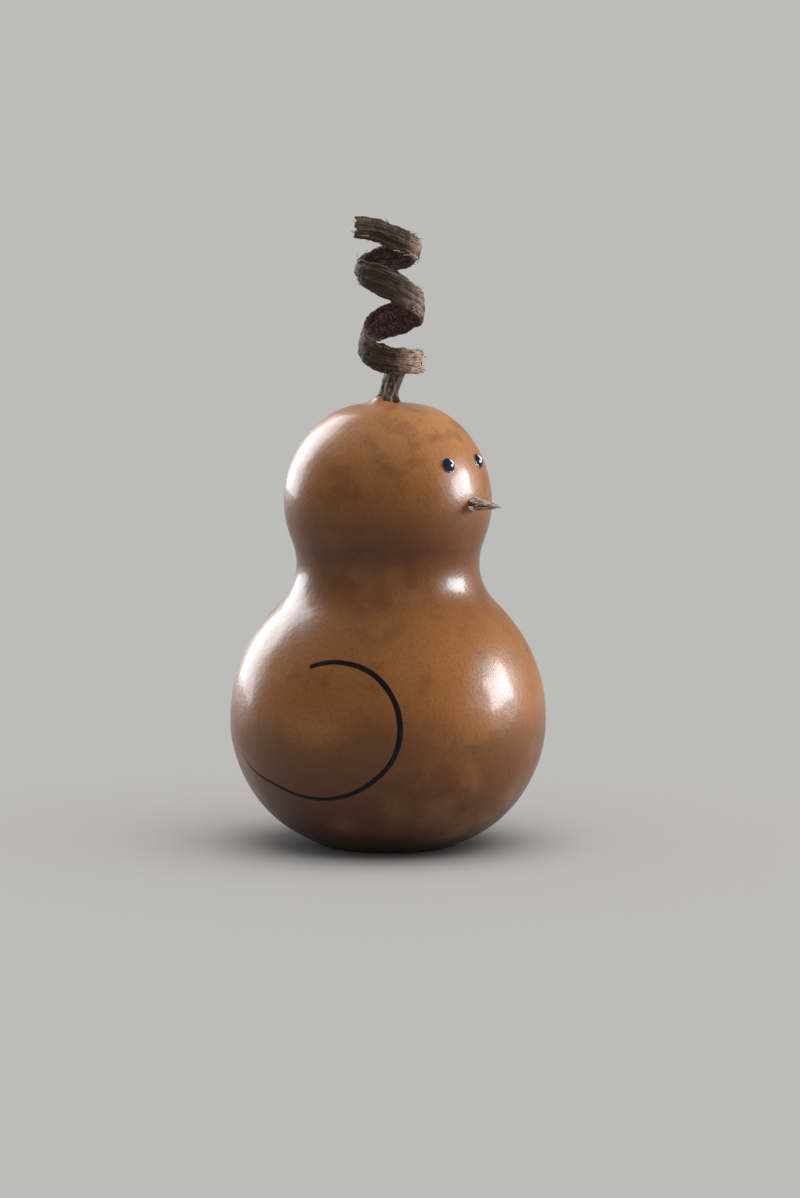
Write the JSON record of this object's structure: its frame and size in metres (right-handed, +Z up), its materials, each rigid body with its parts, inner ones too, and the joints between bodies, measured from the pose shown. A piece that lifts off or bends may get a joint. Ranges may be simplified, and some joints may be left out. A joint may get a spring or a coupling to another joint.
{
  "type": "gourd bird ornament",
  "caption": "Varnished miniature bottle gourd dressed as a standing bird, with a coiled pod crest, bead eyes and a husk beak; seeds rattle loose inside.",
  "frame": {"origin": "the middle of the gourd's flat foot, on the surface that it stands on", "axes": "+Z up through the stem, +X the way the beak points, +Y to the bird's left"},
  "size_m": [0.0826, 0.0826, 0.164],
  "materials": {
    "varnished_rind": "gloss varnish over orange-brown gourd rind",
    "dry_stem": "matte fibrous",
    "curled_pod": "matte fibrous, darker inside",
    "clear_glue": "clear hardened glue",
    "black_bead": "high gloss",
    "beak_husk": "matte, pale at the edges",
    "papery_pith": "matte",
    "wing_ink": "black-brown ink under varnish",
    "seed_coat": "matte"
  },
  "bodies": {
    "gourd": {"gourd_shell": "varnished_rind", "gourd_stem": "dry_stem", "crest_curl": "curled_pod", "crest_glue": "clear_glue", "eye_right": "black_bead", "eye_left": "black_bead", "eye_glue_right": "clear_glue", "eye_glue_left": "clear_glue", "beak_upper": "beak_husk", "beak_lower": "beak_husk", "beak_glue": "clear_glue", "dried_pith": "papery_pith"},
    "seeds": {"loose_seeds": "seed_coat"}
  },
  "joints": [
    {"name": "seed_rattle", "type": "slide", "parent": "gourd", "child": "seeds", "axis": [0, 0, 1], "range_m": [0, 0.095]}
  ]
}
